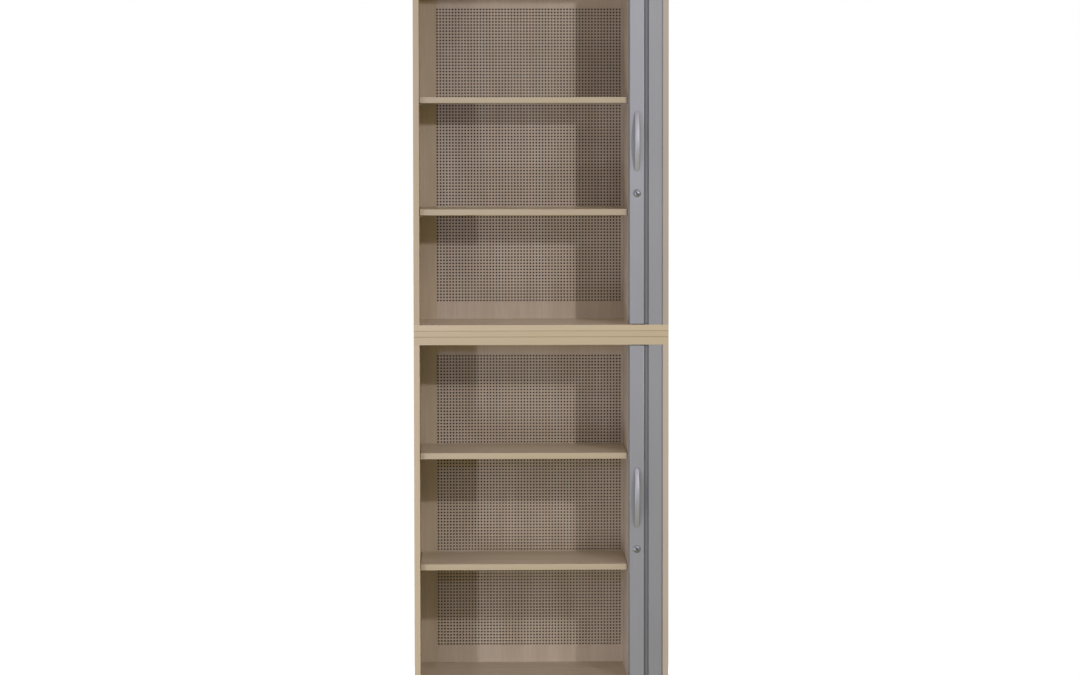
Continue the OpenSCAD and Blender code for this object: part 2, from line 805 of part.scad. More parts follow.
// Plate in the left side board that the cam hooks behind
module strike_plate(floor_z) {
    color(silver_color) at_unit(floor_z) difference() {
        board([-inner_x - strike_t, strike_y - strike_w / 2, lock_z - strike_l / 2],
              [-inner_x, strike_y + strike_w / 2, lock_z + strike_l / 2]);
        board([-inner_x - strike_t - cut, cam_y - cam_gap, lock_z - cam_sweep],
              [-inner_x + cut, cam_y + cam_t + cam_gap, lock_z + cam_w / 2 + cam_gap]);
    }
}

// Sockets under the lower unit that hold the feet's stems
module foot_sockets() {
    color(dark_color) at_unit(lower_floor_z - bottom_t) for (p = foot_places)
        translate([p[0], p[1], 0]) difference() {
            union() {
                translate([0, 0, -socket_flange_t]) cylinder(h = socket_flange_t, r = socket_flange_r);
                translate([0, 0, -socket_flange_t])
                    cylinder(h = socket_flange_t + socket_in - pin_play, r = socket_sleeve_r);
            }
            translate([0, 0, -socket_flange_t - cut])
                cylinder(h = socket_flange_t + socket_in + 2 * cut, r = stem_r + stem_play);
        }
}

// Levelling foot: plate, cone and stem
module foot(place) {
    color(dark_color) translate([place[0], front_y + place[1], 0]) {
        cylinder(h = foot_plate_t, r = foot_r);
        translate([0, 0, foot_plate_t]) cylinder(h = foot_cone_h, r1 = foot_r * foot_cone_share, r2 = 2 * stem_r);
        cylinder(h = foot_h + socket_in - stem_r, r = stem_r);
    }
}

lower_bottom_panel();
lower_top_panel();
left_side(lower_floor_z);  // lower_left_side
right_side(lower_floor_z);  // lower_right_side
partition(lower_floor_z);  // lower_partition
perforated_back(lower_floor_z);  // lower_perforated_back
acoustic_fleece(lower_floor_z);  // lower_acoustic_fleece
absorber_mat(lower_floor_z);  // lower_absorber_mat
outer_back(lower_floor_z);  // lower_outer_back
shelf(lower_floor_z, low_shelf_z);  // lower_shelf_1
shelf(lower_floor_z, high_shelf_z);  // lower_shelf_2
shelf_pins(lower_floor_z);  // lower_shelf_pins
bottom_track(lower_floor_z);  // lower_bottom_track
top_track(lower_floor_z);  // lower_top_track
cover_strip(lower_floor_z);  // lower_cover_strip
curtain(lower_floor_z);  // lower_curtain
lead_slat(lower_floor_z);  // lower_lead_slat
shutter_bar(lower_floor_z);  // lower_shutter_bar
bar_glides(lower_floor_z);  // lower_bar_glides
handle(lower_floor_z);  // lower_handle
handle_screws(lower_floor_z);  // lower_handle_screws
lock_body(lower_floor_z);  // lower_lock_body
lock_plug(lower_floor_z);  // lower_lock_plug
lock_cam(lower_floor_z);  // lower_lock_cam
strike_plate(lower_floor_z);  // lower_strike_plate
carcass_fittings(lower_floor_z);  // lower_carcass_fittings
upper_bottom_panel();
upper_top_panel();
left_side(upper_floor_z);  // upper_left_side
right_side(upper_floor_z);  // upper_right_side
partition(upper_floor_z);  // upper_partition
perforated_back(upper_floor_z);  // upper_perforated_back
acoustic_fleece(upper_floor_z);  // upper_acoustic_fleece
absorber_mat(upper_floor_z);  // upper_absorber_mat
outer_back(upper_floor_z);  // upper_outer_back
shelf(upper_floor_z, low_shelf_z);  // upper_shelf_1
shelf(upper_floor_z, high_shelf_z);  // upper_shelf_2
shelf_pins(upper_floor_z);  // upper_shelf_pins
bottom_track(upper_floor_z);  // upper_bottom_track
top_track(upper_floor_z);  // upper_top_track
cover_strip(upper_floor_z);  // upper_cover_strip
curtain(upper_floor_z);  // upper_curtain
lead_slat(upper_floor_z);  // upper_lead_slat
shutter_bar(upper_floor_z);  // upper_shutter_bar
bar_glides(upper_floor_z);  // upper_bar_glides
handle(upper_floor_z);  // upper_handle
handle_screws(upper_floor_z);  // upper_handle_screws
lock_body(upper_floor_z);  // upper_lock_body
lock_plug(upper_floor_z);  // upper_lock_plug
lock_cam(upper_floor_z);  // upper_lock_cam
strike_plate(upper_floor_z);  // upper_strike_plate
carcass_fittings(upper_floor_z);  // upper_carcass_fittings
middle_cover_panel();
unit_screws();
foot_sockets();
foot(foot_places[0]);  // foot_front_left
foot(foot_places[1]);  // foot_front_right
foot(foot_places[2]);  // foot_rear_left
foot(foot_places[3]);  // foot_rear_right
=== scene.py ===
import json
import math

import bmesh
import bpy
import numpy as np
from mathutils import Matrix, Vector


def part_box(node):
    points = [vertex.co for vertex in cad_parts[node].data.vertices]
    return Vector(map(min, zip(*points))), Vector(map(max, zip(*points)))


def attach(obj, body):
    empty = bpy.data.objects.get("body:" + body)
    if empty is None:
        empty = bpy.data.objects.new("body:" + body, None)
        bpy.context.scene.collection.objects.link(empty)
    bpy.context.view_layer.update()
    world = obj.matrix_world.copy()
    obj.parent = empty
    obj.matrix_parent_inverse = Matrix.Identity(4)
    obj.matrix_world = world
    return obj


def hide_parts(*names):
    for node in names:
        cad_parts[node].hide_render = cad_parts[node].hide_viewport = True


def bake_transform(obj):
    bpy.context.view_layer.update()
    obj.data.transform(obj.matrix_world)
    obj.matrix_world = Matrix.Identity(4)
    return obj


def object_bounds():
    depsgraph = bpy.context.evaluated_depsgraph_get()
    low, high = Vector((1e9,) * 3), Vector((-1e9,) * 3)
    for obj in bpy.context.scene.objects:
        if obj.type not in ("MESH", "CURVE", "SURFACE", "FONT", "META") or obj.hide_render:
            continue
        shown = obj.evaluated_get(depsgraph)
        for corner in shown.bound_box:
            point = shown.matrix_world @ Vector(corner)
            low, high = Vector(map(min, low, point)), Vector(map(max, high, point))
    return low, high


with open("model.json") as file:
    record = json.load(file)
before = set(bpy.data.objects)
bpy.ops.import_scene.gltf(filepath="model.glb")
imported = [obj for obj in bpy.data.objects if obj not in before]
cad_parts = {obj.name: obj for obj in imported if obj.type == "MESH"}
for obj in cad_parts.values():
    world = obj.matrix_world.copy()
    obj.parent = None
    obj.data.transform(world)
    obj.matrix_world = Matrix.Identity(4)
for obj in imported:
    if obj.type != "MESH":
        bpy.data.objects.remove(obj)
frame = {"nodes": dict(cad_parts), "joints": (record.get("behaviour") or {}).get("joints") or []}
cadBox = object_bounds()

# Tall office cabinet: two stacked units with shelves, perforated backs and sideways roller shutters.
# Metres, X to the right, Y from front to back, Z up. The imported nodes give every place.

units = ("lower", "upper")
cabinet = "cabinet"  # the body that stands still
print("frame loaded:", len(frame["nodes"]), "nodes")

# Helpers for node trees and finishes


# Screen colour of 0 to 255 as the shader's linear colour.
def paint(red, green, blue):
    channels = []
    for value in (red, green, blue):
        share = value / 255
        channels.append(share / 12.92 if share <= 0.04045 else ((share + 0.055) / 1.055) ** 2.4)
    return (*channels, 1.0)


def addNode(tree, kind, inputs=None, **settings):
    made = tree.nodes.new("ShaderNode" + kind)
    for key, value in settings.items():
        setattr(made, key, value)
    for key, value in (inputs or {}).items():
        if isinstance(value, bpy.types.NodeSocket):
            tree.links.new(value, made.inputs[key])
        else:
            made.inputs[key].default_value = value
    return made


def startFinish(name, roughness=0.5, metallic=0.0):
    finish = bpy.data.materials.new(name)
    finish.use_nodes = True
    shader = finish.node_tree.nodes["Principled BSDF"]
    shader.inputs["Roughness"].default_value = roughness
    shader.inputs["Metallic"].default_value = metallic
    spot = addNode(finish.node_tree, "TexCoord").outputs["Object"]
    return finish, finish.node_tree, shader, spot


def stretched(tree, spot, scale):
    return addNode(tree, "Mapping", {"Vector": spot, "Scale": scale}).outputs[0]


def coordinate(tree, spot, axis):
    return addNode(tree, "SeparateXYZ", {0: spot}).outputs[axis]


# Noise from 0 to 1; size is how many patches fit in a metre of the stretched place.
def cloud(tree, spot, size, detail=2.0, rough=0.5):
    inputs = {"Vector": spot, "Scale": size, "Detail": detail, "Roughness": rough}
    return addNode(tree, "TexNoise", inputs).outputs["Fac"]


# A value between start and end becomes one between low and high.
def rangeOf(tree, value, low, high, start=0.3, end=0.7):
    inputs = {"Value": value, "From Min": start, "From Max": end, "To Min": low, "To Max": high}
    return addNode(tree, "MapRange", inputs, clamp=True).outputs[0]


# Sockets 6 and 7 of the Mix node are its colours.
def mixPaint(tree, amount, first, second):
    return addNode(tree, "Mix", {0: amount, 6: first, 7: second}, data_type="RGBA").outputs[2]


def mathNode(tree, how, first, second=0.0):
    return addNode(tree, "Math", {0: first, 1: second}, operation=how).outputs[0]


def addBump(tree, shader, height, strength, distance):
    bump = addNode(tree, "Bump", {"Height": height, "Strength": strength, "Distance": distance})
    link(tree, bump.outputs[0], shader, "Normal")


def link(tree, value, node, socket):
    tree.links.new(value, node.inputs[socket])


# Camera, fitted to the edges of the boards in the photograph

cameraSet = {
    "place": (-0.261, -11.709, 1.778),
    "turnRight": 1.28,  # degrees, as the next two
    "tiltDown": 3.25,
    "roll": 0.075,
    "lens": 122.5,  # millimetres
    "sensor": 36.0,
}


def makeCamera(look):
    turn, tilt, roll = (math.radians(look[k]) for k in ("turnRight", "tiltDown", "roll"))
    ahead = Vector((math.sin(turn) * math.cos(tilt), math.cos(turn) * math.cos(tilt), -math.sin(tilt)))
    right = Vector((math.cos(turn), -math.sin(turn), 0))
    up = right.cross(ahead)
    rightRolled = math.cos(roll) * right - math.sin(roll) * up
    upRolled = math.sin(roll) * right + math.cos(roll) * up
    data = bpy.data.cameras.new("photoCamera")
    data.lens = look["lens"]
    data.sensor_width = look["sensor"]
    camera = bpy.data.objects.new("photoCamera", data)
    bpy.context.scene.collection.objects.link(camera)
    axes = Matrix((rightRolled, upRolled, -ahead)).transposed().to_4x4()
    camera.matrix_world = Matrix.Translation(look["place"]) @ axes
    bpy.context.scene.camera = camera


makeCamera(cameraSet)

# Lamps: a high one on the right, two low ones on the left and a far one in front, set by the shadows
# in the compartments, and two soft ones behind for the sides and the back

lampSet = {
    "highRight": {
        "place": (1.86, -4.06, 2.60), "aim": (0.0, -0.2, 2.8),
        "size": (0.10, 0.12), "power": 60.0, "tint": (0.78, 0.813, 0.976),
    },
    "lowLeft": {
        "place": (-2.01, -3.61, 0.20), "aim": (0.0, -0.2, 0.4),
        "size": (0.08, 0.36), "power": 20.6, "tint": (0.735, 0.758, 0.996),
    },
    "nearLow": {
        "place": (-1.28, -2.15, 0.14), "aim": (0.0, -0.2, 1.4),
        "size": (0.05, 0.24), "power": 6.5, "tint": (0.745, 0.793, 0.996),
    },
    "farFront": {
        "place": (-1.29, -6.40, 1.775), "aim": (0.0, -0.2, 1.4),
        "size": (0.15, 0.15), "power": 36.2, "tint": (0.53, 0.568, 0.996),
    },
    "rearLeft": {
        "place": (-3.2, 2.2, 3.2), "aim": (0.0, 0.0, 1.1),
        "size": (1.6, 1.6), "power": 105.0, "tint": (0.85, 0.92, 1.0),
    },
    "rearRight": {
        "place": (3.2, 2.2, 3.2), "aim": (0.0, 0.0, 1.1),
        "size": (1.6, 1.6), "power": 90.0, "tint": (0.85, 0.92, 1.0),
    },
}

# Surrounding light: brightest at a slant from above, and white where the camera looks past the floor

surroundSet = {
    # Height of the direction, from -1 straight down to 1 straight up, and its colour
    "stops": (
        (-0.40, (0.38, 0.375, 0.25)),
        (-0.15, (0.32, 0.315, 0.27)),
        (0.24, (0.25, 0.272, 0.29)),
        (0.38, (0.90, 0.87, 0.84)),
        (0.64, (0.92, 0.88, 0.86)),
        (0.80, (0.44, 0.31, 0.48)),
    ),
    "background": (1, 1, 1, 1),
}


def makeLamp(name, look):
    data = bpy.data.lights.new(name, "AREA")
    data.shape = "RECTANGLE"
    data.size, data.size_y = look["size"]
    data.energy = look["power"]
    data.color = look["tint"]
    lamp = bpy.data.objects.new(name, data)
    bpy.context.scene.collection.objects.link(lamp)
    lamp.location = look["place"]
    away = Vector(look["place"]) - Vector(look["aim"])
    lamp.rotation_euler = away.to_track_quat("Z", "Y").to_euler()


def makeSurround(look):
    world = bpy.data.worlds.new("studio")
    world.use_nodes = True
    tree = world.node_tree
    rise = coordinate(tree, addNode(tree, "TexCoord").outputs["Generated"], "Z")
    height = rangeOf(tree, rise, 0.0, 1.0, -1.0, 1.0)
    ramp = addNode(tree, "ValToRGB", {"Fac": height})
    while len(ramp.color_ramp.elements) < len(look["stops"]):
        ramp.color_ramp.elements.new(1.0)
    for stop, (slant, color) in zip(ramp.color_ramp.elements, look["stops"]):
        stop.position = (slant + 1) / 2
        stop.color = (*color, 1)
    glow = tree.nodes["Background"]
    link(tree, ramp.outputs["Color"], glow, "Color")
    white = addNode(tree, "Background", {"Color": look["background"]}).outputs[0]
    seen = addNode(tree, "LightPath").outputs["Is Camera Ray"]
    mixed = addNode(tree, "MixShader", {0: seen, 1: glow.outputs[0], 2: white}).outputs[0]
    link(tree, mixed, tree.nodes["World Output"], "Surface")
    bpy.context.scene.world = world


for name, look in lampSet.items():
    makeLamp(name, look)
makeSurround(surroundSet)
bpy.context.scene.view_settings.view_transform = "Standard"
print("camera and light made")

# Maple decor on the boards: slow figure, waves, straight grain and short pores, with a paler band
# on the front edges and on the ends of the top and bottom boards, and a line of painted shade in the
# joints between stacked boards

mapleLook = {
    "pale": (212, 194, 165),
    "deep": (192, 171, 140),
    "streak": (175, 153, 123),
    # Each layer's scale is given across and along the grain; it fades in between two noise values
    "figureScale": (2.6, 0.5),
    "figureSize": 5.0,
    "figureShare": 0.75,
    "figureFade": (0.3, 0.7),
    "waveScale": (9.0, 0.7),
    "waveSize": 0.9,
    "waveBend": 5.0,
    "waveShare": 0.22,
    "waveFade": (0.2, 0.9),
    "grainScale": (220.0, 4.0),
    "grainShare": 0.34,
    "grainFade": (0.42, 0.72),
    "poreScale": (900.0, 60.0),
    "poreShare": 0.22,
    "poreFade": (0.6, 0.72),
    "roughness": (0.28, 0.40),
    "bump": 0.12,
    "bumpDepth": 0.0002,
    "band": (206, 187, 140),
    "bandWarm": (208, 185, 146),
    "bandDepth": 0.002,  # from the front edge, and from a board's end
    "bandShare": 0.75,
    "bandDrift": 1.6,
    "bandFade": (0.35, 0.65),
    # Painted shade in the joints between stacked boards: tone, strength and reach of the darker line
    "shadedSeam": (120, 96, 66),
    "seamShadeShare": 0.5,
    "seamShadeReach": 0.0016,
}
# Copies of the maple per unit and side, with tones set by how the light falls on each: painted light
# and shade. The upper flats are paler where more light reaches them. The upper shelf and side edges and
# the right sides are darker or greyer for the shade up high and on the right. The partition has a paler
# face for the light on it and a dark grey front edge for the shade beside the bar. The back's copy only
# changes its grain.
mapleVariantsAndShading = {
    "lowerFlat": {"pale": (206, 193, 165), "deep": (187, 171, 143)},
    "upperFlat": {"pale": (229, 215, 188), "deep": (210, 193, 164)},
    "lowerShelf": {
        "pale": (217, 203, 174), "deep": (198, 182, 151),
        "band": (198, 179, 139), "bandWarm": (197, 176, 143),
    },
    "upperShelf": {
        "pale": (217, 203, 174), "deep": (198, 182, 151),
        "band": (188, 170, 130), "bandWarm": (187, 167, 134),
    },
    "maplePartition": {
        "pale": (225, 213, 194), "deep": (212, 200, 180), "streak": (196, 183, 163),
        "band": (168, 158, 145), "bandWarm": (168, 157, 146), "bandShare": 0.95,
    },
    "mapleBack": {"grainShare": 0.24, "waveShare": 0.14},
    "lowerLeftSide": {"band": (213, 192, 152), "bandWarm": (213, 190, 155)},
    "lowerRightSide": {"band": (201, 184, 159), "bandWarm": (201, 182, 161)},
    "upperLeftSide": {"band": (197, 177, 135), "bandWarm": (197, 175, 139)},
    "upperRightSide": {"band": (180, 168, 145), "bandWarm": (180, 166, 148)},
}


# Place on a board, turned on its two ends so that their grain runs from front to back.
# Sockets 4 and 5 of the Mix node are its vectors.
def turnedOnEnds(tree, spot, endAt):
    parts = addNode(tree, "SeparateXYZ", {0: spot}).outputs
    onEnd = mathNode(tree, "GREATER_THAN", mathNode(tree, "ABSOLUTE", parts["X"]), endAt)
    turned = addNode(tree, "CombineXYZ", {0: parts["Y"], 1: parts["X"], 2: parts["Z"]}).outputs[0]
    return addNode(tree, "Mix", {0: onEnd, 4: spot, 5: turned}, data_type="VECTOR").outputs[1]


# Tone with the edge band over it, up to a depth behind the front.
def withBand(tree, spot, tone, bandEnd, look):
    onBand = mathNode(tree, "LESS_THAN", coordinate(tree, spot, "Y"), bandEnd)
    patches = cloud(tree, spot, look["bandDrift"], detail=1.0)
    drift = rangeOf(tree, patches, 0.0, 1.0, *look["bandFade"])
    band = mixPaint(tree, drift, paint(*look["band"]), paint(*look["bandWarm"]))
    return mixPaint(tree, mathNode(tree, "MULTIPLY", onBand, look["bandShare"]), tone, band)


# Tone with a line of painted shade at a height, where two boards meet: the shadow in their joint is
# painted in as a darker colour.
def withSeamShade(tree, spot, tone, shadedSeam, look):
    away = mathNode(tree, "ABSOLUTE", mathNode(tree, "SUBTRACT", coordinate(tree, spot, "Z"), shadedSeam))
    dark = rangeOf(tree, away, look["seamShadeShare"], 0.0, 0.0, look["seamShadeReach"])
    return mixPaint(tree, dark, tone, paint(*look["shadedSeam"]))


# Maple with its grain along one axis. The band starts at the front of bandNode and, with endNode,
# covers the ends of that board too; seams are the heights of the joints where a line of painted shade
# is drawn.
def mapleFinish(name, along, bandNode=None, endNode=None, seams=()):
    look = {**mapleLook, **mapleVariantsAndShading[name]}
    finish, tree, shader, spot = startFinish(name)
    place = spot
    if endNode:
        place = turnedOnEnds(tree, spot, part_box(endNode)[1].x - look["bandDepth"])
    across = [0.0 if axis == along else 1.0 for axis in "xyz"]

    def grained(layer):
        side, length = look[layer + "Scale"]
        return stretched(tree, place, tuple(side * a + length * (1 - a) for a in across))

    def shown(layer, noise):
        return rangeOf(tree, noise, 0.0, look[layer + "Share"], *look[layer + "Fade"])

    pale, deep, streak = (paint(*look[key]) for key in ("pale", "deep", "streak"))
    figure = cloud(tree, grained("figure"), look["figureSize"], detail=3.0, rough=0.55)
    wave = addNode(tree, "TexWave", {
        "Vector": grained("wave"), "Scale": look["waveSize"],
        "Distortion": look["waveBend"], "Detail": 2.0, "Detail Scale": 1.3,
    }, wave_profile="SIN", bands_direction="DIAGONAL").outputs["Fac"]
    grain = cloud(tree, grained("grain"), 1.0, detail=4.0, rough=0.6)
    pores = cloud(tree, grained("pore"), 1.0, detail=1.0)
    tone = mixPaint(tree, shown("figure", figure), pale, deep)
    tone = mixPaint(tree, shown("wave", wave), tone, deep)
    tone = mixPaint(tree, shown("grain", grain), tone, streak)
    tone = mixPaint(tree, shown("pore", pores), tone, streak)
    if bandNode:
        tone = withBand(tree, spot, tone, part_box(bandNode)[0].y + look["bandDepth"], look)
    for shadedSeam in seams:
        tone = withSeamShade(tree, spot, tone, shadedSeam, look)
    link(tree, tone, shader, "Base Color")
    link(tree, rangeOf(tree, grain, *look["roughness"]), shader, "Roughness")
    addBump(tree, shader, grain, look["bump"], look["bumpDepth"])
    return finish


# Black fleece and the grey absorber behind the holes

fibreSet = {
    "blackFleece": {"dark": (38, 37, 35), "light": (66, 64, 60), "fibres": 700.0},
    "absorberMat": {"dark": (52, 52, 52), "light": (88, 87, 84), "fibres": 420.0},
}
fibreLook = {
    "alongShare": 0.3,  # noise along the fibres, of the noise across them
    "fade": (0.15, 0.4),
    "roughness": 0.95,
    "sheen": 0.25,
    "bump": 0.6,
    "bumpDepth": 0.0006,
}


def fibreFinish(name, look):
    finish, tree, shader, spot = startFinish(name, roughness=look["roughness"])
    size, along = look["fibres"], look["fibres"] * look["alongShare"]
    tangle = cloud(tree, stretched(tree, spot, (size, size, along)), 1.0, detail=5.0, rough=0.7)
    cross = cloud(tree, stretched(tree, spot, (along, size, size)), 1.0, detail=5.0, rough=0.7)
    fibres = mathNode(tree, "MULTIPLY", tangle, cross)
    shown = rangeOf(tree, fibres, 0.0, 1.0, *look["fade"])
    tone = mixPaint(tree, shown, paint(*look["dark"]), paint(*look["light"]))
    link(tree, tone, shader, "Base Color")
    shader.inputs["Sheen Weight"].default_value = look["sheen"]
    addBump(tree, shader, fibres, look["bump"], look["bumpDepth"])
    return finish


# Metal, lacquer and plastic with fine lines drawn along Z, and slow smudges

drawnSet = {
    "barAluminium": {
        "pale": (169, 168, 165), "deep": (162, 161, 158), "line": (151, 150, 147),
        "metallic": 0.25, "lines": 900.0, "roughness": (0.36, 0.46), "bump": 0.10,
    },
    "stripLacquer": {
        "pale": (160, 159, 154), "deep": (153, 152, 148), "line": (144, 143, 139),
        "metallic": 0.2, "lines": 500.0, "roughness": (0.42, 0.52), "bump": 0.06,
    },
    # The slats' grey, painted darker than the bar and strip: painted shade of the narrow gap between
    # bar and cover strip where the slats show
    "slatPlastic": {
        "pale": (132, 132, 127), "deep": (125, 125, 121), "line": (117, 117, 113),
        "metallic": 0.0, "lines": 700.0, "roughness": (0.40, 0.5), "bump": 0.08,
    },
    "handleSatin": {
        "pale": (188, 187, 185), "deep": (180, 179, 177), "line": (170, 169, 167),
        "metallic": 0.45, "lines": 1200.0, "roughness": (0.42, 0.50), "bump": 0.06,
    },
}
drawnLook = {
    "lineLength": 1.5,  # noise along the lines
    "lineShare": 0.25,
    "smudgeScale": (3.0, 3.0, 1.2),
    "smudge": 2.0,
    "bumpDepth": 0.0001,
}


def drawnFinish(name, look):
    finish, tree, shader, spot = startFinish(name, metallic=look["metallic"])
    across, along = look["lines"], look["lineLength"]
    lines = cloud(tree, stretched(tree, spot, (across, across, along)), 1.0, detail=3.0, rough=0.6)
    smudge = cloud(tree, stretched(tree, spot, look["smudgeScale"]), look["smudge"], detail=3.0)
    tone = mixPaint(tree, rangeOf(tree, smudge, 0.0, 1.0), paint(*look["pale"]), paint(*look["deep"]))
    tone = mixPaint(tree, rangeOf(tree, lines, 0.0, look["lineShare"]), tone, paint(*look["line"]))
    link(tree, tone, shader, "Base Color")
    link(tree, rangeOf(tree, lines, *look["roughness"]), shader, "Roughness")
    addBump(tree, shader, lines, look["bump"], look["bumpDepth"])
    return finish


# Moulded plastic and plated metal with a fine even grain and slow smudges

speckSet = {
    "darkPlastic": {
        "pale": (52, 52, 54), "deep": (42, 42, 44), "metallic": 0.0,
        "grain": 2200.0, "smudge": 30.0, "roughness": (0.48, 0.6), "bump": 0.25,
    },
    "footPlastic": {
        "pale": (40, 40, 41), "deep": (30, 30, 31), "metallic": 0.0,
        "grain": 1600.0, "smudge": 40.0, "roughness": (0.5, 0.65), "bump": 0.35,
    },
    "lockChrome": {
        "pale": (160, 161, 160), "deep": (142, 142, 140), "metallic": 0.6,
        "grain": 900.0, "smudge": 120.0, "roughness": (0.30, 0.38), "bump": 0.04,
    },
    "rimChrome": {
        "pale": (150, 149, 146), "deep": (132, 130, 126), "metallic": 0.5,
        "grain": 900.0, "smudge": 120.0, "roughness": (0.40, 0.48), "bump": 0.04,
    },
    "zincSteel": {
        "pale": (196, 198, 200), "deep": (168, 171, 174), "metallic": 1.0,
        "grain": 1200.0, "smudge": 160.0, "roughness": (0.3, 0.45), "bump": 0.15,
    },
}
speckBumpDepth = 0.0001


def speckFinish(name, look):
    finish, tree, shader, spot = startFinish(name, metallic=look["metallic"])
    grain = cloud(tree, spot, look["grain"], detail=2.0, rough=0.6)
    smudge = cloud(tree, spot, look["smudge"], detail=3.0)
    tone = mixPaint(tree, rangeOf(tree, smudge, 0.0, 1.0), paint(*look["pale"]), paint(*look["deep"]))
    link(tree, tone, shader, "Base Color")
    link(tree, rangeOf(tree, smudge, *look["roughness"]), shader, "Roughness")
    addBump(tree, shader, grain, look["bump"], speckBumpDepth)
    return finish


cover = "middle_cover_panel"
coverFaces = [corner.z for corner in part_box(cover)]
finishes = {
    "maplePartition": mapleFinish("maplePartition", "z", "lower_partition"),
    "mapleBack": mapleFinish("mapleBack", "z"),
}
for unit in units:
    flat, shelf, side = unit + "Flat", unit + "Shelf", unit + "_left_side"
    finishes[flat] = mapleFinish(flat, "x", unit + "_bottom_panel", cover, coverFaces)
    finishes[shelf] = mapleFinish(shelf, "x", unit + "_shelf_1")
    for name in (unit + "LeftSide", unit + "RightSide"):
        finishes[name] = mapleFinish(name, "z", side)
for name, look in fibreSet.items():
    finishes[name] = fibreFinish(name, {**fibreLook, **look})
for name, look in drawnSet.items():
    finishes[name] = drawnFinish(name, {**drawnLook, **look})
for name, look in speckSet.items():
    finishes[name] = speckFinish(name, look)
print("finishes made:", len(finishes))

# Mesh helpers


# Mesh piece with one finish; faces that meet under smoothUnder degrees are shaded as one.
def addPiece(name, points, faces, finish, smoothUnder=None):
    mesh = bpy.data.meshes.new(name)
    mesh.from_pydata([tuple(p) for p in points], [], [tuple(f) for f in faces])
    mesh.validate()
    if smoothUnder is not None:
        mesh.shade_smooth()
        mesh.set_sharp_from_angle(angle=math.radians(smoothUnder))
    mesh.materials.append(finishes[finish])
    piece = bpy.data.objects.new(name, mesh)
    bpy.context.scene.collection.objects.link(piece)
    return piece


# One list of points and one of faces from several.
def joined(parts):
    points, faces = [], []
    for somePoints, someFaces in parts:
        start = len(points)
        points.extend(somePoints)
        faces.extend([tuple(i + start for i in face) for face in someFaces])
    return points, faces


# Closed outline with each corner turned into an arc.
def roundedOutline(corners, radius, steps=4):
    outline = []
    count = len(corners)
    for i, corner in enumerate(corners):
        here = Vector(corner)
        back = (Vector(corners[i - 1]) - here).normalized()
        ahead = (Vector(corners[(i + 1) % count]) - here).normalized()
        half = math.acos(max(-1, min(1, back.dot(ahead)))) / 2
        middle = here + (back + ahead).normalized() * (radius / math.sin(half))
        cut = radius / math.tan(half)
        first, last = here + back * cut - middle, here + ahead * cut - middle
        sweep = math.acos(max(-1, min(1, first.normalized().dot(last.normalized()))))
        for k in range(steps + 1):
            share = k / steps
            left = math.sin((1 - share) * sweep) / math.sin(sweep)
            right = math.sin(share * sweep) / math.sin(sweep)
            outline.append(middle + first * left + last * right)
    return outline


# Rectangle round the middle, with rounded corners.
def roundedRectangle(width, height, radius, steps):
    w, h = width / 2, height / 2
    return roundedOutline([(-w, -h), (w, -h), (w, h), (-w, h)], radius, steps)


# Outline in X and Y, in the order against the clock, drawn from low to high with closed ends.
def prism(outline, low, high, place=lambda x, y, z: (x, y, z)):
    count = len(outline)
    points = [place(p[0], p[1], z) for z in (low, high) for p in outline]
    faces = [tuple(reversed(range(count))), tuple(range(count, 2 * count))]
    faces += [(i, (i + 1) % count, count + (i + 1) % count, count + i) for i in range(count)]
    return points, faces


# Profile of (radius, height) turned round an axis through centre: z, or y for heights to the front.
def lathe(profile, centre, segments, axis="z", closed=False):
    points, faces = [], []
    for radius, height in profile:
        for k in range(segments):
            turn = 2 * math.pi * k / segments
            a, b = radius * math.cos(turn), radius * math.sin(turn)
            spot = Vector((a, b, height)) if axis == "z" else Vector((a, -height, b))
            points.append(tuple(spot + Vector(centre)))
    rings = len(profile)
    for i in range(rings if closed else rings - 1):
        j = (i + 1) % rings
        for k in range(segments):
            m = (k + 1) % segments
            faces.append((i * segments + k, i * segments + m, j * segments + m, j * segments + k))
    if not closed:
        faces.append(tuple(reversed(range(segments))))
        faces.append(tuple(range((rings - 1) * segments, rings * segments)))
    return points, faces


edgeSet = {
    "weld": 0.00001,
    "sharpOver": 40.0,  # degrees
}


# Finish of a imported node, with its sharp edges rounded where soften is above zero.
def dressNode(name, finish, soften=0.0, segments=2):
    node = frame["nodes"][name]
    node.data.materials.clear()
    node.data.materials.append(finishes[finish])
    if soften > 0:
        weld = node.modifiers.new("weld", "WELD")
        weld.merge_threshold = edgeSet["weld"]
        bevel = node.modifiers.new("softEdges", "BEVEL")
        bevel.width = soften
        bevel.segments = segments
        bevel.limit_method = "ANGLE"
        bevel.angle_limit = math.radians(edgeSet["sharpOver"])
        bevel.use_clamp_overlap = True
        bevel.harden_normals = True


# Boards, with rounded edges

boardSet = {
    "edge": 0.0011,
    "shelfEdge": 0.0012,
    "shelfSteps": 3,
}
for unit in units:
    dressNode(unit + "_left_side", unit + "LeftSide", boardSet["edge"])
    dressNode(unit + "_right_side", unit + "RightSide", boardSet["edge"])
    dressNode(unit + "_bottom_panel", unit + "Flat", boardSet["edge"])
    dressNode(unit + "_top_panel", unit + "Flat", boardSet["edge"])
    dressNode(unit + "_partition", "maplePartition", boardSet["edge"])
    dressNode(unit + "_outer_back", "mapleBack", boardSet["edge"])
    dressNode(unit + "_shelf_1", unit + "Shelf", boardSet["shelfEdge"], boardSet["shelfSteps"])
    dressNode(unit + "_shelf_2", unit + "Shelf", boardSet["shelfEdge"], boardSet["shelfSteps"])
dressNode(cover, "lowerFlat", boardSet["edge"])
print("boards dressed")

# Perforated back boards with real holes

perforation = {
    "pitch": 0.010,
    "radius": 0.0031,
    "columns": 60,
    "rows": 95,
    "fromSide": 0.056,  # middle of the first column
    "fromFloor": 0.059,  # middle of the lowest row
}


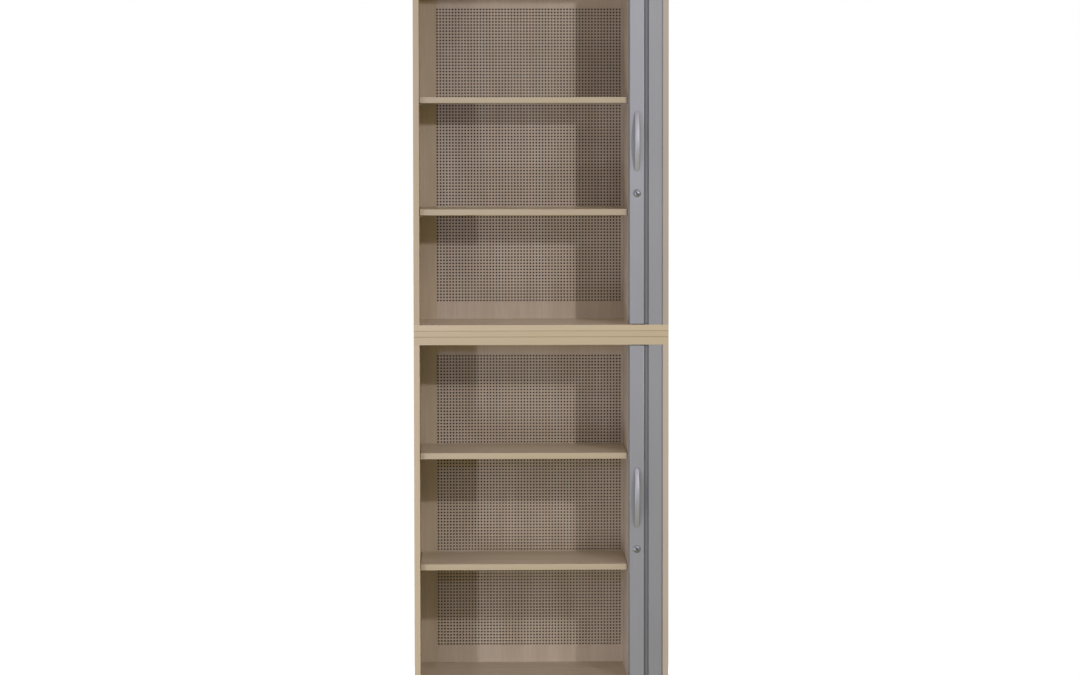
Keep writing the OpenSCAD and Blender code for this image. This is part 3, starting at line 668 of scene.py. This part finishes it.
# Each hole is a ring of eight points joined to the eight grid points round its cell.
def makePerforatedBack(unit, look):
    low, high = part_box(unit + "_perforated_back")
    pitch, columns, rows = look["pitch"], look["columns"], look["rows"]
    aroundI = np.array([1, 1, 0, -1, -1, -1, 0, 1])
    aroundJ = np.array([0, 1, 1, 1, 0, -1, -1, -1])
    sides = len(aroundI)
    startX = low.x + look["fromSide"] - pitch / 2
    startZ = low.z + look["fromFloor"] - pitch / 2

    # Half steps of the grid; the points in the middle of the cells are left out
    across, upward = 2 * columns + 1, 2 * rows + 1
    i, j = np.meshgrid(np.arange(across), np.arange(upward), indexing="ij")
    used = ~((i % 2 == 1) & (j % 2 == 1))
    index = np.full((across, upward), -1)
    index[used] = np.arange(used.sum())
    gridX, gridZ = startX + i[used] * pitch / 2, startZ + j[used] * pitch / 2
    points = [np.stack([gridX, np.full(len(gridX), low.y), gridZ], 1)]

    # Rings on the front and the rear face
    turn = 2 * math.pi * np.arange(sides) / sides
    cells = np.meshgrid(np.arange(columns), np.arange(rows), indexing="ij")
    cellI, cellJ = (a.ravel() for a in cells)
    ringX = (startX + (cellI + 0.5) * pitch)[:, None] + look["radius"] * np.cos(turn)
    ringZ = (startZ + (cellJ + 0.5) * pitch)[:, None] + look["radius"] * np.sin(turn)
    for depth in (low.y, high.y):
        points.append(np.stack([ringX.ravel(), np.full(ringX.size, depth), ringZ.ravel()], 1))
    front = used.sum() + np.arange(len(cellI))[:, None] * sides + np.arange(sides)
    rear = front + len(cellI) * sides
    border = index[2 * cellI[:, None] + 1 + aroundI, 2 * cellJ[:, None] + 1 + aroundJ]
    nextFront, nextRear, nextBorder = (np.roll(a, -1, 1) for a in (front, rear, border))
    faces = np.concatenate([
        np.stack([front, border, nextBorder, nextFront], 2).reshape(-1, 4),
        np.stack([front, nextFront, nextRear, rear], 2).reshape(-1, 4),
    ]).tolist()

    # Plain margins and the four edges; base is the lower left corner of the front
    sheetCorners = ((low.x, low.z), (high.x, low.z), (high.x, high.z), (low.x, high.z))
    points.append(np.array([(x, y, z) for y in (low.y, high.y) for x, z in sheetCorners]))
    base = used.sum() + 2 * len(cellI) * sides
    faces.append([base, base + 1, *index[::-1, 0].tolist()])
    faces.append([base + 1, base + 2, *index[-1, ::-1].tolist()])
    faces.append([base + 2, base + 3, *index[:, -1].tolist()])
    faces.append([base + 3, base, *index[0, :].tolist()])
    for k in range(4):
        after = (k + 1) % 4
        faces.append([base + k, base + 4 + k, base + 4 + after, base + after])
    sheet = addPiece(unit + "_perforated_board", np.concatenate(points).tolist(), faces, "mapleBack")
    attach(sheet, cabinet)
    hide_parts(unit + "_perforated_back")


for unit in units:
    makePerforatedBack(unit, perforation)
    dressNode(unit + "_acoustic_fleece", "blackFleece")
    dressNode(unit + "_absorber_mat", "absorberMat")
print("perforated backs made")

# Slats of the shutters: the rolled away ones, the lead slat, and the ones drawn out in front

slatSet = {
    "pitch": 0.020,
    "gap": 0.0014,
    "thickness": 0.008,
    "backWidth": 0.014,
    "faceRadius": 0.030,
    "facePoints": 9,
    "edge": 0.0006,
    "tongueWidth": 0.010,
    "tongueThickness": 0.004,
    "webThickness": 0.0012,
    "webGrip": 0.0008,  # reach of a hinge strip into a slat
    "cornerRadius": 0.032,
    "rearRadius": 0.035,
    "sideInset": 0.009,  # path from the right side board
    "rearInset": 0.054,  # start of the rear turn from the perforated back
    "count": 36,
    "ahead": 2,  # of the count, in front of the rolled ones
    "pressedInset": 0.006,  # last drawn slat from the cover strip's right edge, at rest
    "drawnInset": 0.030,  # the same with the shutter closed
    "halvings": 40,
}


# Section of a slat, with a crowned face, from the left of the face.
def slatOutline(look):
    half, t, back = (look["pitch"] - look["gap"]) / 2, look["thickness"] / 2, look["backWidth"] / 2
    radius = look["faceRadius"]
    faceX = np.linspace(-half, half, look["facePoints"])
    crown = [(x, radius - t - math.sqrt(radius ** 2 - x ** 2)) for x in faceX]
    corners = [crown[0], crown[-1], (half, 0.0), (back, t), (-back, t), (-half, 0.0)]
    steps = 3
    rounded = roundedOutline(corners, look["edge"], steps)
    face = [Vector(p) for p in crown[1:-1]]
    return rounded[:steps + 1] + face + rounded[steps + 1:]


# Place and heading on the curtain's path, at a length behind the opened bar.
def slatPath(unit, look):
    bar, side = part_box(unit + "_shutter_bar"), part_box(unit + "_right_side")
    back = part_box(unit + "_perforated_back")[0].y
    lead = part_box(unit + "_lead_slat")
    y = (lead[0].y + lead[1].y) / 2
    sideX = side[0].x - look["sideInset"]
    cornerX = sideX - look["cornerRadius"]
    turnY = back - look["rearInset"]
    # Each stretch's length and bend: to the right, round the front corner, back, round, and forward
    stretches = (
        (cornerX - bar[1].x, 0.0),
        (look["cornerRadius"] * math.pi / 2, look["cornerRadius"]),
        (turnY - y - look["cornerRadius"], 0.0),
        (look["rearRadius"] * math.pi, look["rearRadius"]),
        (turnY - y, 0.0),
    )

    def at(length):
        x, depth, turn = bar[1].x, y, 0.0
        for run, radius in stretches:
            step = min(length, run)
            if radius:
                after = turn + step / radius
                x += radius * (math.sin(after) - math.sin(turn))
                depth += radius * (math.cos(turn) - math.cos(after))
                turn = after
            else:
                x, depth = x + step * math.cos(turn), depth + step * math.sin(turn)
            length -= step
            if length <= 0:
                break
        return x, depth, turn

    return at


# Slat with its two tongues; place is (x, y, heading).
def slatSolid(unit, place, look):
    bar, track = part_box(unit + "_shutter_bar"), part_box(unit + "_bar_glides")
    x, y, turn = place
    cosine, sine = math.cos(turn), math.sin(turn)

    def put(u, v, z):
        return (x + u * cosine - v * sine, y + u * sine + v * cosine, z)

    tongue = roundedRectangle(look["tongueWidth"], look["tongueThickness"], look["edge"], 2)
    return joined([
        prism(slatOutline(look), bar[0].z, bar[1].z, put),
        prism(tongue, track[0].z, bar[0].z, put),
        prism(tongue, bar[1].z, track[1].z, put),
    ])


# Soft hinge strip between two slats.
def webSolid(unit, start, end, look):
    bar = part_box(unit + "_shutter_bar")
    along = Vector((end[0] - start[0], end[1] - start[1])).normalized()
    side = Vector((-along.y, along.x)) * look["webThickness"] / 2
    first, last = Vector(start), Vector(end)
    return prism([first - side, last - side, last + side, first + side], bar[0].z, bar[1].z)


# Middle of a slat's left (-1) or right (1) edge, a little inside the slat.
def slatEdge(place, side, look):
    reach = side * ((look["pitch"] - look["gap"]) / 2 - look["webGrip"])
    return place[0] + reach * math.cos(place[2]), place[1] + reach * math.sin(place[2])


# Hinge strips along a row of slats.
def rowOfWebs(unit, places, look):
    return [
        webSolid(unit, slatEdge(a, 1, look), slatEdge(b, -1, look), look)
        for a, b in zip(places, places[1:])
    ]


def makeStoredSlats(unit, look):
    at, pitch = slatPath(unit, look), look["pitch"]
    places = [at((k + 0.5) * pitch) for k in range(look["ahead"], look["count"])]
    parts = [slatSolid(unit, place, look) for place in places] + rowOfWebs(unit, places, look)
    slats = addPiece(unit + "_rolled_slats", *joined(parts), "slatPlastic", smoothUnder=30)
    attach(slats, cabinet)
    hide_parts(unit + "_curtain")


def makeLeadSlat(unit, look):
    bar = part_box(unit + "_shutter_bar")
    place = slatPath(unit, look)(look["pitch"] / 2)
    left = slatEdge(place, -1, look)
    parts = [slatSolid(unit, place, look), webSolid(unit, (bar[1].x, place[1]), left, look)]
    slat = addPiece(unit + "_first_slat", *joined(parts), "slatPlastic", smoothUnder=30)
    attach(slat, unit + "_shutter")
    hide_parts(unit + "_lead_slat")


# Slats that close the front, pressed together behind the cover strip at rest. Each point is set at rest
# so that spreading the slats to their full width over the bar's travel would give their closed shape.
def makeDrawnSlats(unit, look):
    bar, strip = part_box(unit + "_shutter_bar"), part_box(unit + "_cover_strip")
    joint = next(j for j in frame["joints"] if j["name"] == unit + "_shutter_slide")
    travel = joint["range_m"][1]
    pitch = look["pitch"]
    first = bar[1].x + pitch  # right end of the lead slat's share at rest
    last = strip[1].x - look["pressedInset"]
    y = slatPath(unit, look)(0)[1]
    count = int((strip[1].x - look["drawnInset"] - (first - travel)) / pitch)
    places = [(first - travel + (k + 0.5) * pitch, y, 0.0) for k in range(count)]
    lead = (first - travel - pitch / 2, y, 0.0)
    parts = [slatSolid(unit, place, look) for place in places]
    parts += rowOfWebs(unit, [lead] + places, look)
    points, faces = joined(parts)
    points = np.array(points)
    # Bisection for the place at rest of each point's closed place
    nearest, farthest = np.zeros(len(points)), np.ones(len(points))
    for _ in range(look["halvings"]):
        t = (nearest + farthest) / 2
        closed = last - t * (last - first) - t * t * (3 - 2 * t) * travel
        tooFar = closed < points[:, 0]
        farthest = np.where(tooFar, t, farthest)
        nearest = np.where(tooFar, nearest, t)
    points[:, 0] = last - (nearest + farthest) / 2 * (last - first)
    slats = addPiece(unit + "_drawn_slats", points.tolist(), faces, "slatPlastic", smoothUnder=30)
    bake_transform(slats)


for unit in units:
    makeStoredSlats(unit, slatSet)
    makeLeadSlat(unit, slatSet)
    makeDrawnSlats(unit, slatSet)
print("slats made")

# Shutter bar, cover strip, glides and tracks: finish, rounding of the edges, and its steps

barSet = {
    "shutter_bar": ("barAluminium", 0.0003, 2),
    "cover_strip": ("stripLacquer", 0.0005, 2),
    "bar_glides": ("darkPlastic", 0.0005, 2),
    "bottom_track": ("darkPlastic", 0.0003, 1),
    "top_track": ("darkPlastic", 0.0003, 1),
}
for unit in units:
    for part, dress in barSet.items():
        dressNode(unit + "_" + part, *dress)

# Bow handles: rounded section drawn along the bow, thinner at the ends

handleSet = {
    "thickness": 0.006,
    "foot": 0.021,  # length of an end that rests on the bar
    "tip": 0.003,  # height of the outer ends
    "stations": 96,
    "around": 28,
    "squareness": 5.0,  # 2 is an ellipse, and more is nearer a rectangle
    "merge": 0.00002,
}


# Height of a flat arc over a chord at the given place.
def arcHeight(place, halfLength, rise, base=0.0):
    if abs(place) >= halfLength:
        return base
    radius = (halfLength ** 2 + (rise - base) ** 2) / (2 * (rise - base))
    return rise - radius + math.sqrt(radius ** 2 - place ** 2)


def makeHandle(unit, look):
    low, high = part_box(unit + "_handle")
    middleX, middleZ = (low.x + high.x) / 2, (low.z + high.z) / 2
    half, end, rise = (high.z - low.z) / 2, (high.x - low.x) / 2, high.y - low.y
    around, power = look["around"], 2 / look["squareness"]
    points, faces = [], []
    for s in range(look["stations"] + 1):
        # Stations crowd towards the ends, where the outline turns round
        z = half * math.sin(math.pi / 2 * (2 * s / look["stations"] - 1))
        past = max(0.0, abs(z) - (half - end))
        reach = math.sqrt(max(0.0, end ** 2 - past ** 2))
        top = arcHeight(z, half, rise, look["tip"])
        bottom = arcHeight(z, half - look["foot"], rise - look["thickness"])
        for k in range(around):
            turn = 2 * math.pi * k / around
            x = reach * math.copysign(abs(math.cos(turn)) ** power, math.cos(turn))
            h = math.copysign(abs(math.sin(turn)) ** power, math.sin(turn))
            height = (top + bottom) / 2 + (top - bottom) / 2 * h
            points.append((middleX + x, high.y - height, middleZ + z))
    for s in range(look["stations"]):
        for k in range(around):
            m = (k + 1) % around
            faces.append((s * around + k, (s + 1) * around + k, (s + 1) * around + m, s * around + m))
    handle = addPiece(unit + "_bow_handle", points, faces, "handleSatin", smoothUnder=60)
    # The first and last stations have no width, so their points become one
    fixed = bmesh.new()
    fixed.from_mesh(handle.data)
    bmesh.ops.remove_doubles(fixed, verts=fixed.verts, dist=look["merge"])
    bmesh.ops.recalc_face_normals(fixed, faces=fixed.faces)
    fixed.to_mesh(handle.data)
    fixed.free()
    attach(handle, unit + "_shutter")
    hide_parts(unit + "_handle")


for unit in units:
    makeHandle(unit, handleSet)
print("bars and handles made")

# Locks: rim and plug share one shallow dome; the key slot leans to the left while the lock is open

lockSet = {
    "domeRadius": 0.023,
    "ringSteps": 12,
    "rimEdge": 0.0004,
    "rimEdgeShare": 0.5,  # height of the rim's edge, of the dome's height there
    "boreGap": 0.00005,  # between the plug and the rim
    "boreRound": 0.0003,
    "roundShares": (0.3, 0.25),  # middle of the rounding, inwards and down
    "bodyRadius": 0.010,
    "plugMiddleShare": 0.06,  # innermost ring, of the plug's radius
    "slotWidth": 0.0032,
    "slotLength": 0.0125,
    "slotDepth": 0.008,
    "slotCorner": 0.0010,
    "flapDepth": 0.0012,  # dust flap below the face
    "slotLean": 40.0,  # degrees
    "tailWidth": 0.006,
    "tailCorner": 0.0005,
    "segments": 64,
}


# Cuts cutter out of target for good.
def carve(target, cutter):
    cut = target.modifiers.new("cut", "BOOLEAN")
    cut.operation = "DIFFERENCE"
    cut.solver = "EXACT"
    cut.object = cutter
    graph = bpy.context.evaluated_depsgraph_get()
    mesh = bpy.data.meshes.new_from_object(target.evaluated_get(graph))
    target.modifiers.clear()
    target.data = mesh
    bpy.data.objects.remove(cutter)


def makeLock(unit, look):
    rimBox, plugBox, bar = (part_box(unit + "_" + n) for n in ("lock_body", "lock_plug", "shutter_bar"))
    centre = ((rimBox[0].x + rimBox[1].x) / 2, bar[0].y, (rimBox[0].z + rimBox[1].z) / 2)
    rimRadius, plugRadius = (rimBox[1].x - rimBox[0].x) / 2, (plugBox[1].x - plugBox[0].x) / 2
    # Heights to the front, measured from the bar's face
    deep, tail, crown = bar[0].y - rimBox[1].y, bar[0].y - plugBox[1].y, bar[0].y - plugBox[0].y
    edge, small, segments = look["rimEdge"], look["boreRound"], look["segments"]
    inShare, downShare = look["roundShares"]

    def dome(radius):
        return crown - look["domeRadius"] + math.sqrt(look["domeRadius"] ** 2 - radius ** 2)

    def ring(start, end):
        return [(radius, dome(radius)) for radius in np.linspace(start, end, look["ringSteps"])]

    body, bore = look["bodyRadius"], plugRadius + look["boreGap"]
    rimHeight = max(edge, dome(rimRadius - edge) * look["rimEdgeShare"])
    profile = [(body, deep), (body, 0.0), (rimRadius, 0.0), (rimRadius, rimHeight)]
    profile += ring(rimRadius - edge, bore + small)
    profile += [(bore + small * inShare, dome(bore) - small * downShare), (bore, dome(bore) - small)]
    profile += [(bore, deep)]
    turned = lathe(profile, centre, segments, "y", closed=True)
    rim = addPiece(unit + "_lock_rim", *turned, "rimChrome", smoothUnder=35)
    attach(rim, unit + "_shutter")
    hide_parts(unit + "_lock_body")

    top = dome(plugRadius)
    profile = [(plugRadius, deep), (plugRadius, top - small)]
    profile += [(plugRadius - small * inShare, top - small * downShare)]
    profile += ring(plugRadius - small, plugRadius * look["plugMiddleShare"])
    turned = lathe(profile, centre, segments, "y")
    plug = addPiece(unit + "_key_plug", *turned, "lockChrome", smoothUnder=35)
    lean = math.radians(look["slotLean"])

    def leaning(x, y, z):
        across = x * math.cos(lean) - y * math.sin(lean)
        upward = x * math.sin(lean) + y * math.cos(lean)
        return centre[0] + across, centre[1] - z, centre[2] + upward

    def straight(x, y, z):
        return centre[0] + x, centre[1] - z, centre[2] + y

    outline = roundedRectangle(look["slotWidth"], look["slotLength"], look["slotCorner"], 4)
    bottom, above = crown - look["slotDepth"], crown + look["slotWidth"]
    slot = addPiece(unit + "_slot_cutter", *prism(outline, bottom, above, leaning), "lockChrome")
    carve(plug, slot)
    flapSolid = prism(outline, bottom, crown - look["flapDepth"], leaning)
    flap = addPiece(unit + "_key_flap", *flapSolid, "darkPlastic")
    square = roundedRectangle(look["tailWidth"], look["tailWidth"], look["tailCorner"], 2)
    shankSolid = prism(square, tail, deep, straight)
    shank = addPiece(unit + "_plug_tail", *shankSolid, "zincSteel", smoothUnder=30)
    for piece in (plug, shank, flap):
        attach(piece, unit + "_lock")
    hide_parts(unit + "_lock_plug")


for unit in units:
    makeLock(unit, lockSet)
print("locks made")

# Small fittings: finish, rounding of the edges, and its steps

fittingSet = {
    "handle_screws": ("zincSteel", 0.0003, 2),
    "lock_cam": ("zincSteel", 0.0004, 2),
    "strike_plate": ("zincSteel", 0.0003, 2),
    "shelf_pins": ("zincSteel", 0.0004, 2),
    "carcass_fittings": ("zincSteel", 0.0003, 2),
}
for unit in units:
    for part, dress in fittingSet.items():
        dressNode(unit + "_" + part, *dress)
dressNode("unit_screws", "zincSteel", 0.0002, 1)
dressNode("foot_sockets", "darkPlastic", 0.0006, 2)

# Levelling feet: ribbed plastic plate and a threaded steel stem

footSet = {
    "plate": 0.006,
    "coneTop": 0.010,
    "stemRadius": 0.004,
    "segments": 72,
    # Points up the rim: out from the plate's radius, and height
    "rim": ((-0.0035, 0.0), (-0.0012, 0.0006), (-0.0003, 0.0018), (0.0, 0.0032)),
    # Its shoulder: out from the plate's radius, and up from the plate's thickness
    "shoulder": ((-0.0004, -0.0010), (-0.0016, -0.0001), (-0.0030, 0.0)),
    # Slope to the cone: share of the plate's radius, and up from the plate's thickness
    "slope": ((0.80, 0.0001), (0.70, 0.0012), (0.52, 0.0026)),
    "coneFoot": (0.0012, 0.0003),  # out from the cone's radius, and down from its top
    "ribs": 12,
    "ribHalf": 0.0007,  # half of a rib's thickness
    "ribShares": (0.84, 0.80),  # its outer end, of the plate's radius, at its foot and above
    "ribEnd": 0.0012,
    "ribDrop": 0.0006,  # of its top below the cone's
}
stemSet = {
    "thread": 0.0004,
    "pitch": 0.00125,
    "start": 0.0005,
    "flankShares": (0.15, 0.85),  # where a thread rises and falls, of its pitch
    "point": 0.0004,
    "segments": 32,
}


def makeFoot(name, look, stemLook):
    low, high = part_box(name)
    centre = ((low.x + high.x) / 2, (low.y + high.y) / 2, low.z)
    radius, stem = (high.x - low.x) / 2, look["stemRadius"]
    plate, coneTop, cone = look["plate"], look["coneTop"], 2 * look["stemRadius"]
    out, down = look["coneFoot"]
    profile = [(stem, 0.0)]
    profile += [(radius + x, z) for x, z in look["rim"]]
    profile += [(radius + x, plate + z) for x, z in look["shoulder"]]
    profile += [(radius * share, plate + z) for share, z in look["slope"]]
    profile += [(cone + out, coneTop - down), (cone, coneTop), (stem, coneTop)]
    parts = [lathe(profile, centre, look["segments"], closed=True)]
    endLow, endHigh = (radius * share for share in look["ribShares"])
    ribTop = coneTop - plate - look["ribDrop"]
    rib = [(cone, 0.0), (endLow, 0.0), (endHigh, look["ribEnd"]), (cone, ribTop)]
    for k in range(look["ribs"]):
        turn = 2 * math.pi * k / look["ribs"]

        def put(u, v, w, turn=turn):
            x, y = u * math.cos(turn) - w * math.sin(turn), u * math.sin(turn) + w * math.cos(turn)
            return (centre[0] + x, centre[1] + y, centre[2] + plate + v)

        parts.append(prism(rib, look["ribHalf"], -look["ribHalf"], put))
    base = addPiece(name + "_plate", *joined(parts), "footPlastic", smoothUnder=30)
    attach(base, name)
    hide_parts(name)

    rod, pitch, root = high.z - low.z, stemLook["pitch"], stem - stemLook["thread"]
    rise, fall = stemLook["flankShares"]
    profile = [(root, stemLook["start"])]
    turns = int((rod - 2 * stemLook["start"]) / pitch)
    for k in range(turns):
        z = stemLook["start"] + k * pitch
        profile += [(root, z + rise * pitch), (stem, z + 0.5 * pitch), (root, z + fall * pitch)]
    profile += [(root, rod - stemLook["point"]), (stem - 2 * stemLook["thread"], rod)]
    threaded = lathe(profile, centre, stemLook["segments"])
    pin = addPiece(name + "_stem", *threaded, "zincSteel", smoothUnder=20)
    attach(pin, name)


for name in sorted(n for n in frame["nodes"] if n.startswith("foot_") and n != "foot_sockets"):
    makeFoot(name, footSet, stemSet)
print("fittings and feet made")

# Floor: white far away, and softly shaded round the cabinet

floorSet = {
    "size": 60.0,
    "shade": 0.8,
    "glow": (0.55, 1.02),  # at the cabinet, and far from it
    "fade": 0.2,
}


def makeFloor(look):
    half = look["size"] / 2
    mesh = bpy.data.meshes.new("studioFloor")
    corners = [(-half, -half, 0), (half, -half, 0), (half, half, 0), (-half, half, 0)]
    mesh.from_pydata(corners, [], [(0, 1, 2, 3)])
    floor = bpy.data.objects.new("studioFloor", mesh)
    bpy.context.scene.collection.objects.link(floor)
    finish, tree, shader, spot = startFinish("studioFloor", roughness=1.0)
    shader.inputs["Specular IOR Level"].default_value = 0.0
    shader.inputs["Emission Color"].default_value = (1, 1, 1, 1)
    # Distance from the cabinet's foot, whose middle is at zero
    squares = []
    for axis, reach in (("X", cadBox[1].x), ("Y", cadBox[1].y)):
        side = mathNode(tree, "ABSOLUTE", coordinate(tree, spot, axis))
        outside = mathNode(tree, "MAXIMUM", mathNode(tree, "SUBTRACT", side, reach), 0.0)
        squares.append(mathNode(tree, "MULTIPLY", outside, outside))
    distance = mathNode(tree, "SQRT", mathNode(tree, "ADD", *squares))
    near = rangeOf(tree, distance, 1.0, 0.0, 0.0, look["fade"])
    glowNear, glowFar = look["glow"]
    shade = mathNode(tree, "MULTIPLY", near, look["shade"])
    tone = addNode(tree, "CombineColor", {0: shade, 1: shade, 2: shade}).outputs[0]
    link(tree, tone, shader, "Base Color")
    link(tree, rangeOf(tree, near, glowFar, glowNear, 0.0, 1.0), shader, "Emission Strength")
    mesh.materials.append(finish)
    floor.visible_diffuse = False
    floor.visible_glossy = False
    floor.visible_shadow = False


makeFloor(floorSet)
print("scene done")
